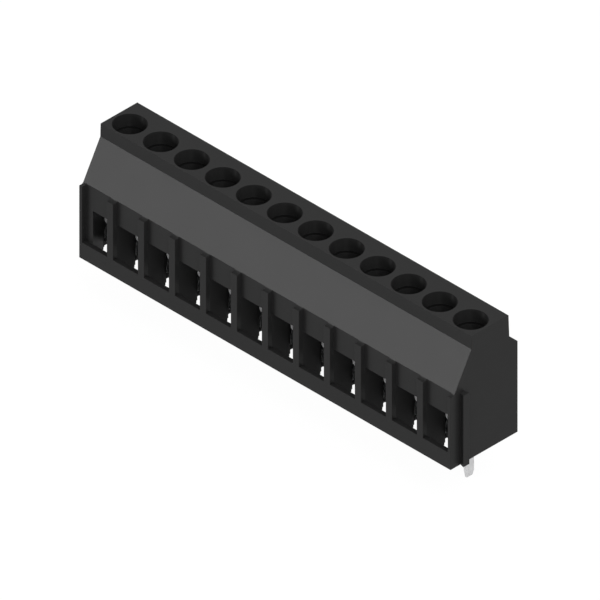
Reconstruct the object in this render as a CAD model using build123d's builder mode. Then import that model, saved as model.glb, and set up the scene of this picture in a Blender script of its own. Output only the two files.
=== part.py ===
from build123d import *
import math
import os

# Twelve-pole screw terminal block for circuit boards, wires entering from the front.
# X runs along the row, -Y is the wire side, Z is up from the board.
# The origin is on the board, under the middle of the row, on the line of the solder pins.

# Row
POLES = 12
PITCH = 5.08
END_GAP = 0.05
LENGTH = POLES * PITCH - 2 * END_GAP

# Outline of the housing seen from the end
DEPTH = 11.0
FRONT_Y = -DEPTH / 2
BACK_Y = DEPTH / 2
HEIGHT = 17.2
LEDGE_Z = 10.17
LEDGE_DEPTH = 0.56
LEDGE_ROUND = 0.34
BROW_Y = -2.05
BROW_Z = 15.4
TOP_FRONT_Y = -2.0
TOP_BACK_Y = 4.02
HIP_Y = 4.14
HIP_Z = 14.18
BACK_TOP_Z = 12.85

# Wire pockets and the funnels behind them
POCKET_WIDTH = 4.08
POCKET_DEPTH = 0.66
POCKET_HEIGHT = 12.0
SILL_Z = 2.29
OPENING_TOP_Z = 6.98
FUNNEL_END_Y = -2.29
FUNNEL_END_WIDTH = 3.15
LIP_LENGTH = 0.31

# Chambers of the clamps, open to the board
CHAMBER_WIDTH = 4.2
CHAMBER_BACK_Y = 2.95
CHAMBER_TOP_Z = 10.6
PARTITION_FOOT_Y = -2.43
PARTITION_GAP = 0.34

# Screw holes
SCREW_Y = 0.31
ACCESS_RADIUS = 2.075
ACCESS_DEPTH = 1.75
NECK_RADIUS = 1.67
NECK_BOTTOM_Z = 13.2
HEAD_WELL_WIDTH = 4.0

# Dovetail that joins two blocks
TONGUE_Y = -3.55
TONGUE_OUTER_WIDTH = 1.0
TONGUE_INNER_WIDTH = 0.65
TONGUE_REACH = 0.65
TONGUE_TOP_Z = 10.1
GROOVE_GAP = 0.05
BUMP_FRONT_WIDTH = 1.6
BUMP_BACK_WIDTH = 1.0

# Current bar
STRIP = 0.93
TONGUE_FRONT_Y = -2.49
TONGUE_UNDER_Z = 4.03
BAR_WIDTH = 2.67
LEG_BACK_Y = 4.7
FOOT_UNDER_Z = 0.08
BAR_FOLD_FACET = 0.5
CONTACT_ROUND = 0.42
PIN_WIDTH = 0.76
PIN_LENGTH = 4.7
PIN_TIP_INSET = 0.24
PIN_TIP_LENGTH = 0.85
FOOT_NECK_Y = 1.2

# Clamping yoke, at rest in its lowest place
SHEET = 0.5
YOKE_WIDTH = 4.1
YOKE_FRONT_Y = -2.22
YOKE_BACK_Y = 2.78
YOKE_UNDER_Z = 1.09
YOKE_INNER_HEIGHT = 4.4
YOKE_FOLD_FACET = 0.29
LAP_STEP = 0.55
LAP_GAP = 0.15
GRIP_COUNT = 3
GRIP_PITCH = 1.0
GRIP_DEPTH = 0.12

# Clamp screw
SCREW_RADIUS = 1.5
SCREW_GAP = 0.04
HEAD_RADIUS = 1.9
HEAD_HEIGHT = 1.9
HEAD_PLAY = 0.1
SLOT_LENGTH = 4.2
SLOT_WIDTH = 0.8
SLOT_DEPTH = 1.0
TIP_PLAY = 0.03

# How near a corner has to be to a side to count as being at it
NEAR = 0.01

# Worked out from the above
pole_places = [(pole - (POLES - 1) / 2) * PITCH for pole in range(POLES)]
tongue_top_z = TONGUE_UNDER_Z + STRIP
strip_middle = STRIP / 2


def dovetail(root_width, outer_width, reach):
    """Corners of a dovetail, its narrow root on the local Y axis and its wide face at +X."""
    return [
        (0, -root_width / 2),
        (reach, -outer_width / 2),
        (reach, outer_width / 2),
        (0, root_width / 2),
    ]


def current_bar(place):
    """Strip folded into a contact tongue, a back leg, a foot and a solder pin."""
    foot_top_z = FOOT_UNDER_Z + STRIP
    with BuildPart() as bar:
        # Contact tongue, its lower edges rounded where the wire is pressed
        with BuildSketch(Plane.XZ.offset(-TONGUE_FRONT_Y)) as tongue:
            with Locations((place, TONGUE_UNDER_Z + strip_middle)):
                Rectangle(BAR_WIDTH, STRIP)
            fillet(tongue.vertices().group_by(Axis.Y)[0], radius=CONTACT_ROUND)
        extrude(amount=TONGUE_FRONT_Y - CHAMBER_BACK_Y)
        # The folds behind it, each with one flat facet outside
        with BuildSketch(Plane.YZ.offset(place - BAR_WIDTH / 2)) as side:
            with BuildLine():
                Polyline(
                    (CHAMBER_BACK_Y, tongue_top_z),
                    (LEG_BACK_Y, tongue_top_z),
                    (LEG_BACK_Y, FOOT_UNDER_Z),
                    (strip_middle, FOOT_UNDER_Z),
                    (strip_middle, -PIN_LENGTH),
                    (-strip_middle, -PIN_LENGTH),
                    (-strip_middle, foot_top_z),
                    (LEG_BACK_Y - STRIP, foot_top_z),
                    (LEG_BACK_Y - STRIP, TONGUE_UNDER_Z),
                    (CHAMBER_BACK_Y, TONGUE_UNDER_Z),
                    close=True,
                )
            make_face()
            folds = [
                side.vertices().sort_by_distance(corner)[0]
                for corner in (
                    (LEG_BACK_Y, tongue_top_z),
                    (LEG_BACK_Y, FOOT_UNDER_Z),
                    (-strip_middle, foot_top_z),
                )
            ]
            chamfer(folds, length=BAR_FOLD_FACET)
        extrude(amount=BAR_WIDTH)
        # The foot narrows to the pin
        waste_width = (BAR_WIDTH - PIN_WIDTH) / 2
        waste_length = FOOT_NECK_Y + STRIP
        with BuildSketch(Plane.XY.offset(-PIN_LENGTH)):
            with Locations((place, FOOT_NECK_Y - waste_length / 2)):
                with GridLocations(PIN_WIDTH + waste_width, PITCH, 2, 1):
                    Rectangle(waste_width, waste_length)
        extrude(amount=PIN_LENGTH + foot_top_z, mode=Mode.SUBTRACT)
        # The pin's tip tapers from both sides
        tip = bar.faces().sort_by(Axis.Z)[0]
        tip_edges = tip.edges().filter_by(Axis.Y)
        chamfer(tip_edges, length=PIN_TIP_INSET, length2=PIN_TIP_LENGTH, reference=tip)
    return bar.part


def clamping_yoke(place):
    """Strip folded into a box open front and back, its two ends lapped on top and tapped."""
    half_width = YOKE_WIDTH / 2
    inner_width = YOKE_WIDTH - 2 * SHEET
    inner_top_z = YOKE_UNDER_Z + SHEET + YOKE_INNER_HEIGHT
    lap_z = inner_top_z + SHEET
    top_z = lap_z + SHEET
    with BuildPart() as yoke:
        with BuildSketch(Plane((place, YOKE_BACK_Y, 0), x_dir=(1, 0, 0), z_dir=(0, -1, 0))) as strip:
            with BuildLine():
                Polyline(
                    (-half_width, YOKE_UNDER_Z),
                    (half_width, YOKE_UNDER_Z),
                    (half_width, lap_z),
                    (half_width - LAP_STEP, lap_z),
                    (half_width - LAP_STEP, top_z),
                    (-half_width, top_z),
                    close=True,
                )
            make_face()
            # Each fold has one flat facet outside
            folds = [corner for corner in strip.vertices() if abs(corner.X) > half_width - NEAR]
            chamfer(folds, length=YOKE_FOLD_FACET)
            with Locations((0, inner_top_z - YOKE_INNER_HEIGHT / 2)):
                Rectangle(inner_width, YOKE_INNER_HEIGHT, mode=Mode.SUBTRACT)
            # The inner lap stops just short of the side that it points at
            with Locations(((LAP_GAP - inner_width) / 2, inner_top_z + SHEET / 2)):
                Rectangle(LAP_GAP, SHEET, mode=Mode.SUBTRACT)
        extrude(amount=YOKE_BACK_Y - YOKE_FRONT_Y)
        # Thread hole through both laps
        with BuildSketch(Plane.XY.offset(inner_top_z)):
            with Locations((place, SCREW_Y)):
                Circle(SCREW_RADIUS + SCREW_GAP)
        extrude(amount=2 * SHEET, mode=Mode.SUBTRACT)
        # Cross grooves in the floor that grip the wire
        with BuildSketch(Plane.YZ.offset(place - inner_width / 2)):
            with Locations(((YOKE_FRONT_Y + YOKE_BACK_Y) / 2, YOKE_UNDER_Z + SHEET)):
                with GridLocations(GRIP_PITCH, GRIP_PITCH, GRIP_COUNT, 1):
                    Rectangle(GRIP_DEPTH * math.sqrt(2), GRIP_DEPTH * math.sqrt(2), rotation=45)
        extrude(amount=inner_width, mode=Mode.SUBTRACT)
    return yoke.part


def clamp_screw(place):
    """Slotted cheese-head screw, its tip on the current bar."""
    tip_z = tongue_top_z + TIP_PLAY
    head_top_z = NECK_BOTTOM_Z - HEAD_PLAY
    head_under_z = head_top_z - HEAD_HEIGHT
    with BuildPart() as screw:
        with BuildSketch(Plane.XY.offset(head_under_z)):
            with Locations((place, SCREW_Y)):
                Circle(HEAD_RADIUS)
        extrude(amount=HEAD_HEIGHT)
        with BuildSketch(Plane.XY.offset(head_under_z)):
            with Locations((place, SCREW_Y)):
                Circle(SCREW_RADIUS)
        extrude(amount=tip_z - head_under_z)
        with BuildSketch(Plane.XY.offset(head_top_z)):
            with Locations((place, SCREW_Y)):
                Rectangle(SLOT_WIDTH, SLOT_LENGTH)
        extrude(amount=-SLOT_DEPTH, mode=Mode.SUBTRACT)
    return screw.part


with BuildPart() as housing:
    # The moulding's outline from the end, run along the row
    with BuildSketch(Plane.YZ.offset(-LENGTH / 2)) as outline:
        with BuildLine():
            Polyline(
                (FRONT_Y, 0),
                (FRONT_Y, LEDGE_Z),
                (FRONT_Y + LEDGE_DEPTH, LEDGE_Z),
                (BROW_Y, BROW_Z),
                (TOP_FRONT_Y, HEIGHT),
                (TOP_BACK_Y, HEIGHT),
                (HIP_Y, HIP_Z),
                (BACK_Y, BACK_TOP_Z),
                (BACK_Y, 0),
                close=True,
            )
        make_face()
        ledge_corner = outline.vertices().sort_by_distance((FRONT_Y + LEDGE_DEPTH, LEDGE_Z))[0]
        fillet(ledge_corner, radius=LEDGE_ROUND)
    extrude(amount=LENGTH)

    # Shallow wire pockets down the front, open through the slope
    with BuildSketch(Plane.XZ.offset(-FRONT_Y)):
        with Locations((0, SILL_Z + POCKET_HEIGHT / 2)):
            with GridLocations(PITCH, PITCH, POLES, 1):
                Rectangle(POCKET_WIDTH, POCKET_HEIGHT)
    extrude(amount=-POCKET_DEPTH, mode=Mode.SUBTRACT)

    # Chambers of the clamps and the slots of the current bars, from the board side
    with BuildSketch(Plane.XY):
        with Locations((0, (FUNNEL_END_Y + CHAMBER_BACK_Y) / 2)):
            with GridLocations(PITCH, PITCH, POLES, 1):
                Rectangle(CHAMBER_WIDTH, CHAMBER_BACK_Y - FUNNEL_END_Y)
    extrude(amount=CHAMBER_TOP_Z, mode=Mode.SUBTRACT)
    with BuildSketch(Plane.XY):
        with Locations((0, (CHAMBER_BACK_Y + LEG_BACK_Y) / 2)):
            with GridLocations(PITCH, PITCH, POLES, 1):
                Rectangle(BAR_WIDTH, LEG_BACK_Y - CHAMBER_BACK_Y)
    extrude(amount=tongue_top_z, mode=Mode.SUBTRACT)

    # Funnels from the pockets to the clamps, narrowing sideways and from above
    funnel_start_y = FRONT_Y + POCKET_DEPTH
    lip_y = FUNNEL_END_Y - LIP_LENGTH
    side_taper = (POCKET_WIDTH - FUNNEL_END_WIDTH) / 2
    with Locations((0, funnel_start_y, 0)):
        with GridLocations(PITCH, PITCH, POLES, 1):
            Wedge(
                xsize=POCKET_WIDTH,
                ysize=lip_y - funnel_start_y,
                zsize=OPENING_TOP_Z,
                xmin=side_taper,
                zmin=0,
                xmax=POCKET_WIDTH - side_taper,
                zmax=tongue_top_z,
                align=(Align.CENTER, Align.MIN, Align.MIN),
                mode=Mode.SUBTRACT,
            )
    with BuildSketch(Plane.XZ.offset(-lip_y)):
        with Locations((0, tongue_top_z / 2)):
            with GridLocations(PITCH, PITCH, POLES, 1):
                Rectangle(FUNNEL_END_WIDTH, tongue_top_z)
    extrude(amount=-LIP_LENGTH, mode=Mode.SUBTRACT)

    # The partitions stand on their front feet and clear the board behind them
    with BuildSketch(Plane.XY):
        with Locations((0, (PARTITION_FOOT_Y + CHAMBER_BACK_Y) / 2)):
            Rectangle((POLES - 1) * PITCH + CHAMBER_WIDTH, CHAMBER_BACK_Y - PARTITION_FOOT_Y)
    extrude(amount=PARTITION_GAP, mode=Mode.SUBTRACT)

    # Stepped screw holes: well for the head, neck that holds the screw in, driver guide
    with BuildSketch(Plane.XY.offset(CHAMBER_TOP_Z)):
        with Locations((0, SCREW_Y)):
            with GridLocations(PITCH, PITCH, POLES, 1):
                Rectangle(HEAD_WELL_WIDTH, HEAD_WELL_WIDTH)
    extrude(amount=NECK_BOTTOM_Z - CHAMBER_TOP_Z, mode=Mode.SUBTRACT)
    with Locations(Plane.XY.offset(HEIGHT)):
        with Locations((0, SCREW_Y)):
            with GridLocations(PITCH, PITCH, POLES, 1):
                CounterBoreHole(
                    radius=NECK_RADIUS,
                    counter_bore_radius=ACCESS_RADIUS,
                    counter_bore_depth=ACCESS_DEPTH,
                    depth=HEIGHT - CHAMBER_TOP_Z,
                )

    # Bump inside the first pole, which keeps a wall behind the groove
    with BuildSketch(Plane((-LENGTH / 2, 0, 0))):
        with BuildLine():
            Polyline(
                (0, funnel_start_y),
                (BUMP_FRONT_WIDTH, funnel_start_y),
                (BUMP_BACK_WIDTH, lip_y),
                (0, lip_y),
                close=True,
            )
        make_face()
    extrude(amount=OPENING_TOP_Z)

    # Dovetail groove in the left end and tongue on the right end
    with BuildSketch(Plane((-LENGTH / 2, TONGUE_Y, 0))):
        with BuildLine():
            root = TONGUE_INNER_WIDTH + 2 * GROOVE_GAP
            outer = TONGUE_OUTER_WIDTH + 2 * GROOVE_GAP
            Polyline(*dovetail(root, outer, TONGUE_REACH + GROOVE_GAP), close=True)
        make_face()
    extrude(amount=TONGUE_TOP_Z + GROOVE_GAP, mode=Mode.SUBTRACT)
    with BuildSketch(Plane((LENGTH / 2, TONGUE_Y, 0))):
        with BuildLine():
            Polyline(*dovetail(TONGUE_INNER_WIDTH, TONGUE_OUTER_WIDTH, TONGUE_REACH), close=True)
        make_face()
    extrude(amount=TONGUE_TOP_Z)

os.makedirs("parts", exist_ok=True)
housing.part.label = "housing"
export_step(housing.part, "parts/housing.step")

makers = {
    "current_bar": current_bar,
    "clamping_yoke": clamping_yoke,
    "clamp_screw": clamp_screw,
}
for number, place in enumerate(pole_places, start=1):
    for kind, make in makers.items():
        name = f"{kind}_{number:02d}"
        piece = make(place)
        piece.label = name
        export_step(piece, f"parts/{name}.step")
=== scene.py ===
import math

import bpy
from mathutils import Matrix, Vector


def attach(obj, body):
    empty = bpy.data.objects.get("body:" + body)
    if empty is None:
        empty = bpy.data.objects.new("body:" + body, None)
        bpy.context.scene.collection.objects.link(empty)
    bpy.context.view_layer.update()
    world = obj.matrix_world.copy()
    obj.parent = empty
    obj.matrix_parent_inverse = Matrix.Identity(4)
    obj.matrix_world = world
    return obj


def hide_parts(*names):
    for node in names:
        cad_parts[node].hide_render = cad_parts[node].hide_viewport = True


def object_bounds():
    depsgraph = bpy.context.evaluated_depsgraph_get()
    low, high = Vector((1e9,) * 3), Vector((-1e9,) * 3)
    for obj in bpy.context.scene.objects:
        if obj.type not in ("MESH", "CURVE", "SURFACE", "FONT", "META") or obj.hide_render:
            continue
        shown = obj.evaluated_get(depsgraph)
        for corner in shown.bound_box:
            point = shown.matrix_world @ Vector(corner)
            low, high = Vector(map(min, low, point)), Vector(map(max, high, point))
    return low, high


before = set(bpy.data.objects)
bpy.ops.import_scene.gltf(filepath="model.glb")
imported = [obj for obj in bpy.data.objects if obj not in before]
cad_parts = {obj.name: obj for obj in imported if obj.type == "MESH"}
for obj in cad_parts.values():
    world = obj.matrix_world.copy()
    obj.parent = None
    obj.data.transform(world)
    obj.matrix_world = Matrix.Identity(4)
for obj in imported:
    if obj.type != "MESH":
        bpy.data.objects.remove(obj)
cad_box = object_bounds()

# Metres in a millimetre
MM = 0.001

# The photograph's view: parallel, from the right front and above
VIEW_AZIMUTH = math.radians(45)
VIEW_ELEVATION = math.radians(35.0)
VIEW_WIDTH = 69.55 * MM
VIEW_CENTRE = Vector((0.09, 0.17, 6.25)) * MM
VIEW_DISTANCE = 400 * MM

# Studio
FLOOR_HALF_WIDTH = 2.0
FLOOR_GLOW = 0.97
SKY_STRENGTH = 0.77
KEY_STRENGTH = 1.52
KEY_ANGLE = math.radians(14)
KEY_DIRECTION = Vector((-0.575, -0.795, 0.22))
FILL_STRENGTH = 2.86
FILL_ANGLE = math.radians(60)
FILL_DIRECTION = Vector((0.36, 0.1, 0.94))
FRONT_STRENGTH = 0.82
FRONT_ANGLE = math.radians(24)
FRONT_DIRECTION = Vector((0.62, -0.54, 0.57))

# The row of screws, in millimetres, as in the solids
POLES = 12
PITCH = 5.08
SCREW_Y = 0.31
BORE_RADIUS = 2.09
BORE_BOTTOM_Z = 13.0
HEAD_RADIUS = 1.9
HEAD_TOP_Z = 13.1
HEAD_UNDER_Z = 11.2
SLOT_FLOOR_Z = 12.1
SLOT_HALF_WIDTH = 0.4
TIP_Z = 4.99

# Where the slot's shade begins and ends, in millimetres from its floor and from the head's top
SLOT_SHADE_MARGIN = 0.1
SLOT_FLOOR_MARGIN = 0.02

# Form of the screws that the solids leave plain, in millimetres
HEAD_ROUND = 0.2
HEAD_ROUND_STEPS = 3
HEAD_ARC_STEPS = 20
HEAD_GAP_STEPS = 4
THREAD_PITCH = 0.5
THREAD_STEPS = 36
SHANK_OVERLAP = 0.05
CREST_RADIUS = 1.5
ROOT_RADIUS = 1.2
TIP_RADIUS = 1.1

# Where the flanks of the thread turn, as shares of one pitch
THREAD_RISE = 0.4
THREAD_CREST_END = 0.53
THREAD_FALL = 0.93


def new_material(name):
    """An empty node material, its tree, its Principled shader and coordinates in millimetres."""
    material = bpy.data.materials.new(name)
    material.use_nodes = True
    tree = material.node_tree
    shader = tree.nodes["Principled BSDF"]
    place = tree.nodes.new("ShaderNodeTexCoord")
    scale = tree.nodes.new("ShaderNodeVectorMath")
    scale.operation = "SCALE"
    scale.inputs["Scale"].default_value = 1 / MM
    tree.links.new(place.outputs["Object"], scale.inputs[0])
    return material, tree, shader, scale.outputs["Vector"]


def stretched(tree, coordinates, factors):
    """The same coordinates, multiplied axis by axis."""
    stretch = tree.nodes.new("ShaderNodeVectorMath")
    stretch.operation = "MULTIPLY"
    stretch.inputs[1].default_value = factors
    tree.links.new(coordinates, stretch.inputs[0])
    return stretch.outputs["Vector"]


def noise(tree, coordinates, per_mm, detail=2.0, roughness=0.5):
    """A noise value from 0 to 1, with about per_mm waves in a millimetre."""
    texture = tree.nodes.new("ShaderNodeTexNoise")
    texture.inputs["Scale"].default_value = per_mm
    texture.inputs["Detail"].default_value = detail
    texture.inputs["Roughness"].default_value = roughness
    tree.links.new(coordinates, texture.inputs["Vector"])
    return texture.outputs["Fac"]


def remap(tree, value, low, high, from_low=0.3, from_high=0.7):
    """The value taken from one range to another and kept inside it."""
    ramp = tree.nodes.new("ShaderNodeMapRange")
    ramp.inputs["From Min"].default_value = from_low
    ramp.inputs["From Max"].default_value = from_high
    ramp.inputs["To Min"].default_value = low
    ramp.inputs["To Max"].default_value = high
    tree.links.new(value, ramp.inputs["Value"])
    return ramp.outputs["Result"]


def blend_colours(tree, value, first, second):
    """A colour between two, by a value from 0 to 1."""
    mix = tree.nodes.new("ShaderNodeMix")
    mix.data_type = "RGBA"
    mix.inputs["A"].default_value = (*first, 1)
    mix.inputs["B"].default_value = (*second, 1)
    tree.links.new(value, mix.inputs["Factor"])
    return mix.outputs["Result"]


def bump(tree, height, depth_mm, strength, normal=None):
    """A bump normal from a height value, its full depth in millimetres."""
    node = tree.nodes.new("ShaderNodeBump")
    node.inputs["Strength"].default_value = strength
    node.inputs["Distance"].default_value = depth_mm * MM
    tree.links.new(height, node.inputs["Height"])
    if normal is not None:
        tree.links.new(normal, node.inputs["Normal"])
    return node.outputs["Normal"]


def rounded_edges(tree, radius_mm):
    """A normal that turns round sharp edges."""
    node = tree.nodes.new("ShaderNodeBevel")
    node.samples = 4
    node.inputs["Radius"].default_value = radius_mm * MM
    return node.outputs["Normal"]


def calculate(tree, operation, *values):
    """One step of arithmetic on links and numbers."""
    step = tree.nodes.new("ShaderNodeMath")
    step.operation = operation
    for socket, value in zip(step.inputs, values):
        if isinstance(value, (int, float)):
            socket.default_value = value
        else:
            tree.links.new(value, socket)
    return step.outputs[0]


def split_axes(tree, vector):
    """The X, Y and Z values of a vector."""
    split = tree.nodes.new("ShaderNodeSeparateXYZ")
    tree.links.new(vector, split.inputs[0])
    return split.outputs["X"], split.outputs["Y"], split.outputs["Z"]


def mix_shaders(tree, factor, first, second):
    """A shader between two, by a value from 0 to 1."""
    mix = tree.nodes.new("ShaderNodeMixShader")
    tree.links.new(factor, mix.inputs[0])
    tree.links.new(first.outputs[0], mix.inputs[1])
    tree.links.new(second.outputs[0], mix.inputs[2])
    return mix


def bore_masks(tree, place):
    """Two masks of the screw holes: 1 on their walls, and 1 on the ledge of each, which gets painted
    shade.
    """
    x, y, z = split_axes(tree, place)
    across = calculate(tree, "WRAP", calculate(tree, "SUBTRACT", x, PITCH / 2), PITCH / 2, -PITCH / 2)
    along = calculate(tree, "SUBTRACT", y, SCREW_Y)
    squares = calculate(tree, "ADD", calculate(tree, "MULTIPLY", across, across),
                        calculate(tree, "MULTIPLY", along, along))
    near = calculate(tree, "LESS_THAN", squares, BORE_RADIUS ** 2)
    high = calculate(tree, "GREATER_THAN", z, BORE_BOTTOM_Z)
    inside = calculate(tree, "MULTIPLY", near, high)
    geometry = tree.nodes.new("ShaderNodeNewGeometry")
    facing_up = split_axes(tree, geometry.outputs["True Normal"])[2]
    ledge_shade_mask = calculate(tree, "MULTIPLY", inside, calculate(tree, "GREATER_THAN", facing_up, 0.5))
    return calculate(tree, "SUBTRACT", inside, ledge_shade_mask), ledge_shade_mask


def polished_shader(tree, grain, normal):
    """Walls of the screw holes, drawn along their length by the core pins."""
    shader = tree.nodes.new("ShaderNodeBsdfPrincipled")
    shader.inputs["Base Color"].default_value = (0.0110, 0.0110, 0.0110, 1)
    tree.links.new(remap(tree, grain, 0.48, 0.52), shader.inputs["Roughness"])
    shader.inputs["Specular IOR Level"].default_value = 0.05
    shader.inputs["Anisotropic"].default_value = 1.0
    shader.inputs["Anisotropic Rotation"].default_value = 0.25
    tree.links.new(normal, shader.inputs["Normal"])
    return shader


def ledge_painted_shade(tree):
    """Painted shade on the ledge of each screw hole: matt and near black, standing in for the
    occlusion that darkens it.
    """
    shader = tree.nodes.new("ShaderNodeBsdfDiffuse")
    # Painted shade: a near-black colour where the ledge lies in shade
    shader.inputs["Color"].default_value = (0.004, 0.004, 0.004, 1)
    return shader


def moulding_material():
    """Black moulded plastic, satin outside, with its own finish on the walls of the screw holes and
    painted shade on the ledge of each.
    """
    material, tree, satin, place = new_material("black_moulding")
    mottle = noise(tree, place, 0.35, detail=4.0)
    grain = noise(tree, place, 9.0, detail=3.0, roughness=0.6)
    normal = bump(tree, grain, 0.01, 0.2, rounded_edges(tree, 0.05))
    colour = blend_colours(tree, remap(tree, mottle, 0, 1), (0.0122, 0.0122, 0.0122),
                           (0.0128, 0.0128, 0.0128))
    tree.links.new(colour, satin.inputs["Base Color"])
    tree.links.new(remap(tree, mottle, 0.305, 0.315), satin.inputs["Roughness"])
    satin.inputs["Specular IOR Level"].default_value = 0.055
    tree.links.new(normal, satin.inputs["Normal"])
    walls, ledge_shade_mask = bore_masks(tree, place)
    skin = mix_shaders(tree, walls, satin, polished_shader(tree, grain, normal))
    # Painted shade: the ledge of each screw hole takes the near-black matt shader
    whole = mix_shaders(tree, ledge_shade_mask, skin, ledge_painted_shade(tree))
    tree.links.new(whole.outputs[0], tree.nodes["Material Output"].inputs["Surface"])
    return material


def tin_material():
    """Matt tin plate, faintly streaked along the strip."""
    material, tree, shader, place = new_material("matt_tin")
    streaks = noise(tree, stretched(tree, place, (6.0, 0.8, 0.8)), 2.0, detail=4.0)
    grain = noise(tree, place, 14.0, detail=2.0)
    colour = blend_colours(tree, remap(tree, streaks, 0, 1), (0.44, 0.44, 0.445), (0.50, 0.50, 0.505))
    tree.links.new(colour, shader.inputs["Base Color"])
    shader.inputs["Metallic"].default_value = 0.4
    tree.links.new(remap(tree, streaks, 0.34, 0.46), shader.inputs["Roughness"])
    normal = bump(tree, grain, 0.005, 0.3, rounded_edges(tree, 0.03))
    tree.links.new(normal, shader.inputs["Normal"])
    return material


def zinc_material(name, streak_factors, colours, roughness):
    """Zinc-plated steel, streaked by rolling or turning: what new_material gives, dressed."""
    material, tree, shader, place = new_material(name)
    streaks = noise(tree, stretched(tree, place, streak_factors), 2.5, detail=5.0)
    cloud = noise(tree, place, 0.8, detail=3.0)
    colour = blend_colours(tree, remap(tree, cloud, 0, 1), *colours)
    tree.links.new(colour, shader.inputs["Base Color"])
    shader.inputs["Metallic"].default_value = 1.0
    tree.links.new(remap(tree, streaks, *roughness), shader.inputs["Roughness"])
    normal = bump(tree, streaks, 0.004, 0.35, rounded_edges(tree, 0.03))
    tree.links.new(normal, shader.inputs["Normal"])
    return material, tree, shader, place


def yoke_material():
    """Rolled strip with bright zinc plating."""
    colours = ((0.46, 0.47, 0.48), (0.54, 0.54, 0.53))
    return zinc_material("rolled_zinc", (0.6, 6.0, 0.6), colours, (0.18, 0.27))[0]


def screw_material():
    """Turned steel with dull zinc plating, with painted shade that darkens the head towards the height
    of the slot's floor.
    """
    colours = ((0.30, 0.30, 0.31), (0.38, 0.38, 0.37))
    material, tree, shader, place = zinc_material("turned_zinc", (1.0, 1.0, 8.0), colours, (0.48, 0.6))
    z = split_axes(tree, place)[2]
    # Painted shade: the head's colour darkens towards the slot's floor, where occlusion falls in the
    # slot
    deep = remap(tree, z, 1.0, 0.0, SLOT_FLOOR_Z + SLOT_SHADE_MARGIN, HEAD_TOP_Z - SLOT_SHADE_MARGIN)
    head = calculate(tree, "GREATER_THAN", z, SLOT_FLOOR_Z - SLOT_FLOOR_MARGIN)
    shade = tree.nodes.new("ShaderNodeMix")
    shade.data_type = "RGBA"
    # The painted shade's near-black colour
    shade.inputs["B"].default_value = (0.06, 0.06, 0.06, 1)
    tree.links.new(calculate(tree, "MULTIPLY", deep, head), shade.inputs["Factor"])
    tree.links.new(shader.inputs["Base Color"].links[0].from_socket, shade.inputs["A"])
    tree.links.new(shade.outputs["Result"], shader.inputs["Base Color"])
    return material


def dress(names, material):
    """Gives CAD nodes one material all over."""
    for name in names:
        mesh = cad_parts[name].data
        mesh.materials.clear()
        mesh.materials.append(material)


def nodes_named(start):
    """The names of the CAD nodes that start with a word."""
    return [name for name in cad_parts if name.startswith(start)]


def head_ring(radius, z):
    """A circle of points in four runs: right arc, back of the slot, left arc, front of the slot."""
    edge = math.acos(SLOT_HALF_WIDTH / radius)
    right = [-edge + 2 * edge * step / HEAD_ARC_STEPS for step in range(HEAD_ARC_STEPS + 1)]
    gap = math.pi - 2 * edge
    back = [edge + gap * step / HEAD_GAP_STEPS for step in range(1, HEAD_GAP_STEPS)]
    left = [angle + math.pi for angle in right]
    front = [angle + math.pi for angle in back]
    runs = [right, back, left, front]
    return [[(radius * math.cos(a), radius * math.sin(a), z) for a in run] for run in runs]


class Shell:
    """Points and faces of a mesh in the making."""

    def __init__(self):
        self.points = []
        self.faces = []

    def add(self, points):
        """Adds points and returns their numbers."""
        first = len(self.points)
        self.points.extend(points)
        return list(range(first, len(self.points)))

    def join(self, lower, upper, closed):
        """A band of faces between two rows of points."""
        count = len(lower) if closed else len(lower) - 1
        for step in range(count):
            following = (step + 1) % len(lower)
            self.faces.append((lower[step], lower[following], upper[following], upper[step]))


def add_slotted_head(shell):
    """Cheese head, its top edge rounded, with a slot right across it."""
    under = shell.add(sum(head_ring(HEAD_RADIUS, HEAD_UNDER_Z), []))
    shell.faces.append(tuple(reversed(under)))
    floor_runs = [shell.add(run) for run in head_ring(HEAD_RADIUS, SLOT_FLOOR_Z)]
    right, back, left, front = floor_runs
    shell.join(under, sum(floor_runs, []), closed=True)
    shell.faces.append((right[-1], *back, left[0], left[-1], *front, right[0]))
    for side, floor in ((0, right), (2, left)):
        rows = [floor]
        for step in range(HEAD_ROUND_STEPS + 1):
            turn = math.pi / 2 * step / HEAD_ROUND_STEPS
            radius = HEAD_RADIUS - HEAD_ROUND * (1 - math.cos(turn))
            z = HEAD_TOP_Z - HEAD_ROUND * (1 - math.sin(turn))
            rows.append(shell.add(head_ring(radius, z)[side]))
        for lower, upper in zip(rows, rows[1:]):
            shell.join(lower, upper, closed=False)
        shell.faces.append(tuple(rows[-1]))
        wall = [row[-1] for row in rows] + [row[0] for row in reversed(rows)]
        shell.faces.append(tuple(wall))


def thread_radius(share):
    """Radius of the thread's flank at a share of one pitch."""
    depth = CREST_RADIUS - ROOT_RADIUS
    if share < THREAD_RISE:
        return ROOT_RADIUS + depth * share / THREAD_RISE
    if share < THREAD_CREST_END:
        return CREST_RADIUS
    if share < THREAD_FALL:
        return CREST_RADIUS - depth * (share - THREAD_CREST_END) / (THREAD_FALL - THREAD_CREST_END)
    return ROOT_RADIUS


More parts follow.
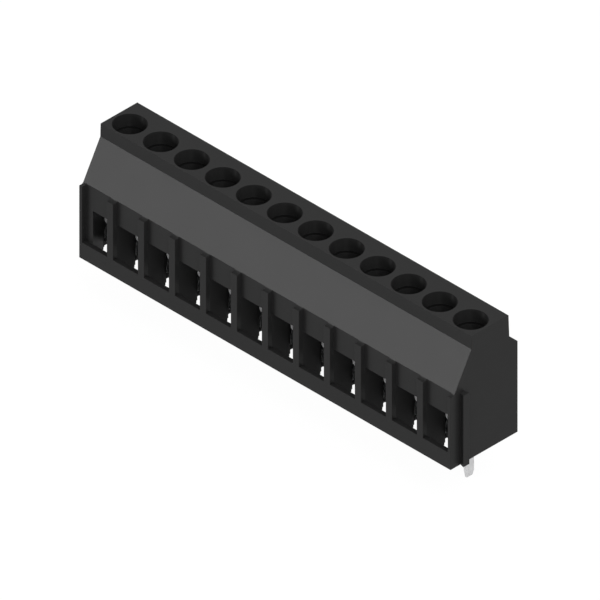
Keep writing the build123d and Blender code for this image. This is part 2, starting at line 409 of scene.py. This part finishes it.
def add_threaded_shank(shell):
    """Threaded shank with a turned-down tip, its top just inside the head."""
    around = THREAD_STEPS
    top_z = HEAD_UNDER_Z + SHANK_OVERLAP
    shares = (0.0, THREAD_RISE, THREAD_CREST_END, THREAD_FALL)
    turns = math.ceil((top_z - TIP_Z) / THREAD_PITCH) + 1
    rows = []
    for turn in range(-1, turns):
        for share in shares:
            row = []
            for step in range(around + 1):
                lift = (turn + share + step / around) * THREAD_PITCH
                z = min(max(TIP_Z + lift, TIP_Z), top_z)
                cone = TIP_RADIUS + (z - TIP_Z)
                radius = min(thread_radius(share), cone)
                angle = 2 * math.pi * step / around
                row.append((radius * math.cos(angle), radius * math.sin(angle), z))
            rows.append(shell.add(row))
    for lower, upper in zip(rows, rows[1:]):
        shell.join(lower, upper, closed=False)
    tip = shell.add([(TIP_RADIUS * math.cos(a), TIP_RADIUS * math.sin(a), TIP_Z)
                     for a in (2 * math.pi * step / around for step in range(around))])
    shell.faces.append(tuple(reversed(tip)))


def make_screws(material):
    """The slotted clamp screws with their threads, in place of the plain solids."""
    shell = Shell()
    add_slotted_head(shell)
    add_threaded_shank(shell)
    mesh = bpy.data.meshes.new("threaded_screw")
    mesh.from_pydata([Vector(point) * MM for point in shell.points], [], shell.faces)
    mesh.materials.append(material)
    for number in range(1, POLES + 1):
        place = (number - (POLES + 1) / 2) * PITCH
        screw = bpy.data.objects.new(f"threaded_screw_{number:02d}", mesh)
        screw.location = Vector((place, SCREW_Y, 0)) * MM
        bpy.context.scene.collection.objects.link(screw)
        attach(screw, f"screw_{number:02d}")
        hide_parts(f"clamp_screw_{number:02d}")


def background_rays(tree):
    """1 for the rays that see the background, straight or by a mirror or glass."""
    path = tree.nodes.new("ShaderNodeLightPath")
    value = path.outputs["Is Camera Ray"]
    for kind in ("Is Glossy Ray", "Is Transmission Ray"):
        value = calculate(tree, "MAXIMUM", value, path.outputs[kind])
    return value


def make_world():
    """Even soft light from all round, in front of a white background."""
    world = bpy.data.worlds.new("studio")
    bpy.context.scene.world = world
    world.use_nodes = True
    tree = world.node_tree
    sky = tree.nodes["Background"]
    sky.inputs["Color"].default_value = (1, 1, 1, 1)
    sky.inputs["Strength"].default_value = SKY_STRENGTH
    white = tree.nodes.new("ShaderNodeBackground")
    white.inputs["Color"].default_value = (1, 1, 1, 1)
    mix = mix_shaders(tree, background_rays(tree), sky, white)
    tree.links.new(mix.outputs[0], tree.nodes["World Output"].inputs["Surface"])


def floor_material():
    """White floor that keeps a light shadow and isn't there when seen from below."""
    material = bpy.data.materials.new("white_floor")
    material.use_nodes = True
    tree = material.node_tree
    tree.nodes.remove(tree.nodes["Principled BSDF"])
    matt = tree.nodes.new("ShaderNodeBsdfDiffuse")
    matt.inputs["Color"].default_value = (0.85, 0.85, 0.85, 1)
    glow = tree.nodes.new("ShaderNodeEmission")
    glow.inputs["Color"].default_value = (1, 1, 1, 1)
    share = calculate(tree, "MULTIPLY", background_rays(tree), FLOOR_GLOW)
    white = mix_shaders(tree, share, matt, glow)
    side = tree.nodes.new("ShaderNodeNewGeometry")
    clear = tree.nodes.new("ShaderNodeBsdfTransparent")
    shown = mix_shaders(tree, side.outputs["Backfacing"], white, clear)
    tree.links.new(shown.outputs[0], tree.nodes["Material Output"].inputs["Surface"])
    return material


def make_floor():
    """A plain floor at the tips of the pins."""
    height = cad_box[0].z
    mesh = bpy.data.meshes.new("floor")
    corners = [
        (-FLOOR_HALF_WIDTH, -FLOOR_HALF_WIDTH, height),
        (FLOOR_HALF_WIDTH, -FLOOR_HALF_WIDTH, height),
        (FLOOR_HALF_WIDTH, FLOOR_HALF_WIDTH, height),
        (-FLOOR_HALF_WIDTH, FLOOR_HALF_WIDTH, height),
    ]
    mesh.from_pydata(corners, [], [(0, 1, 2, 3)])
    mesh.materials.append(floor_material())
    floor = bpy.data.objects.new("floor", mesh)
    bpy.context.scene.collection.objects.link(floor)


def make_sun(name, strength, angle, direction):
    """A far, wide lamp that shines from a direction."""
    lamp = bpy.data.lights.new(name, "SUN")
    lamp.energy = strength
    lamp.angle = angle
    lamp_object = bpy.data.objects.new(name, lamp)
    lamp_object.rotation_mode = "QUATERNION"
    lamp_object.rotation_quaternion = direction.to_track_quat("Z", "Y")
    bpy.context.scene.collection.objects.link(lamp_object)


def make_camera():
    """The photograph's parallel view."""
    camera = bpy.data.cameras.new("camera")
    camera.type = "ORTHO"
    camera.ortho_scale = VIEW_WIDTH
    camera.clip_start = 0.001
    camera.clip_end = 10
    back = Vector((
        math.sin(VIEW_AZIMUTH) * math.cos(VIEW_ELEVATION),
        -math.cos(VIEW_AZIMUTH) * math.cos(VIEW_ELEVATION),
        math.sin(VIEW_ELEVATION),
    ))
    camera_object = bpy.data.objects.new("camera", camera)
    camera_object.location = VIEW_CENTRE + back * VIEW_DISTANCE
    camera_object.rotation_mode = "QUATERNION"
    camera_object.rotation_quaternion = (-back).to_track_quat("-Z", "Y")
    bpy.context.scene.collection.objects.link(camera_object)
    bpy.context.scene.camera = camera_object


dress(["housing"], moulding_material())
dress(nodes_named("current_bar"), tin_material())
dress(nodes_named("clamping_yoke"), yoke_material())
turned_zinc = screw_material()
dress(nodes_named("clamp_screw"), turned_zinc)
make_screws(turned_zinc)

make_world()
make_floor()
make_sun("key", KEY_STRENGTH, KEY_ANGLE, KEY_DIRECTION)
make_sun("fill", FILL_STRENGTH, FILL_ANGLE, FILL_DIRECTION)
make_sun("front", FRONT_STRENGTH, FRONT_ANGLE, FRONT_DIRECTION)
make_camera()
bpy.context.scene.view_settings.view_transform = "Standard"
